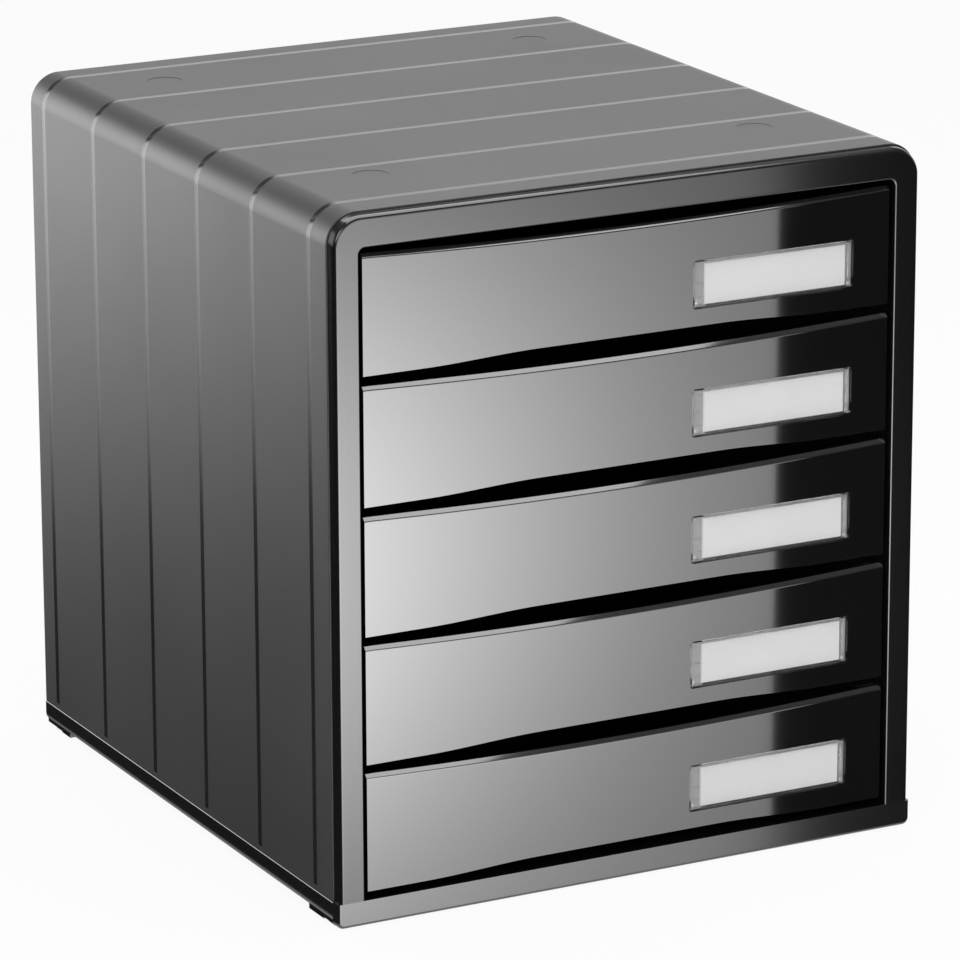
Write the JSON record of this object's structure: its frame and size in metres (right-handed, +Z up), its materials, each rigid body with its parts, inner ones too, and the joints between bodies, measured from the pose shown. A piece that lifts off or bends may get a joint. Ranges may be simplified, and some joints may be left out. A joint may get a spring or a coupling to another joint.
{
  "type": "desktop drawer organizer",
  "caption": "Free-standing desk unit of stacked A4 document drawers in a grooved casing, each sliding on ledges and with a label window.",
  "frame": {"origin": "centre of the footprint, on the plane of the feet", "axes": "+X to the right seen from the front, +Y to the back, +Z up; the drawers open towards -Y"},
  "size_m": [0.2884, 0.315, 0.317],
  "materials": {
    "casing_plastic": "satin, fine moulded texture",
    "gloss_plastic": "high gloss black",
    "runner_plastic": "plain moulded",
    "tray_plastic": "satin moulded",
    "foot_pads": "soft translucent",
    "label_paper": "plain white card",
    "clear_window": "clear moulded plastic"
  },
  "bodies": {
    "cabinet": {"casing": "casing_plastic", "front_frame": "gloss_plastic", "base": "gloss_plastic", "back_panel": "casing_plastic", "runner_left": "runner_plastic", "runner_right": "runner_plastic", "foot_front_left": "foot_pads", "foot_front_right": "foot_pads", "foot_rear_left": "foot_pads", "foot_rear_right": "foot_pads"},
    "drawer_1": {"drawer_tray_1": "tray_plastic", "drawer_front_1": "gloss_plastic", "label_card_1": "label_paper", "label_window_1": "clear_window"},
    "drawer_2": {"drawer_tray_2": "tray_plastic", "drawer_front_2": "gloss_plastic", "label_card_2": "label_paper", "label_window_2": "clear_window"},
    "drawer_3": {"drawer_tray_3": "tray_plastic", "drawer_front_3": "gloss_plastic", "label_card_3": "label_paper", "label_window_3": "clear_window"},
    "drawer_4": {"drawer_tray_4": "tray_plastic", "drawer_front_4": "gloss_plastic", "label_card_4": "label_paper", "label_window_4": "clear_window"},
    "drawer_5": {"drawer_tray_5": "tray_plastic", "drawer_front_5": "gloss_plastic", "label_card_5": "label_paper", "label_window_5": "clear_window"}
  },
  "joints": [
    {"name": "drawer_1_slide", "type": "slide", "parent": "cabinet", "child": "drawer_1", "axis": [0, -1, 0], "range_m": [0, 0.25]},
    {"name": "drawer_2_slide", "type": "slide", "parent": "cabinet", "child": "drawer_2", "axis": [0, -1, 0], "range_m": [0, 0.25]},
    {"name": "drawer_3_slide", "type": "slide", "parent": "cabinet", "child": "drawer_3", "axis": [0, -1, 0], "range_m": [0, 0.25]},
    {"name": "drawer_4_slide", "type": "slide", "parent": "cabinet", "child": "drawer_4", "axis": [0, -1, 0], "range_m": [0, 0.25]},
    {"name": "drawer_5_slide", "type": "slide", "parent": "cabinet", "child": "drawer_5", "axis": [0, -1, 0], "range_m": [0, 0.25]}
  ]
}
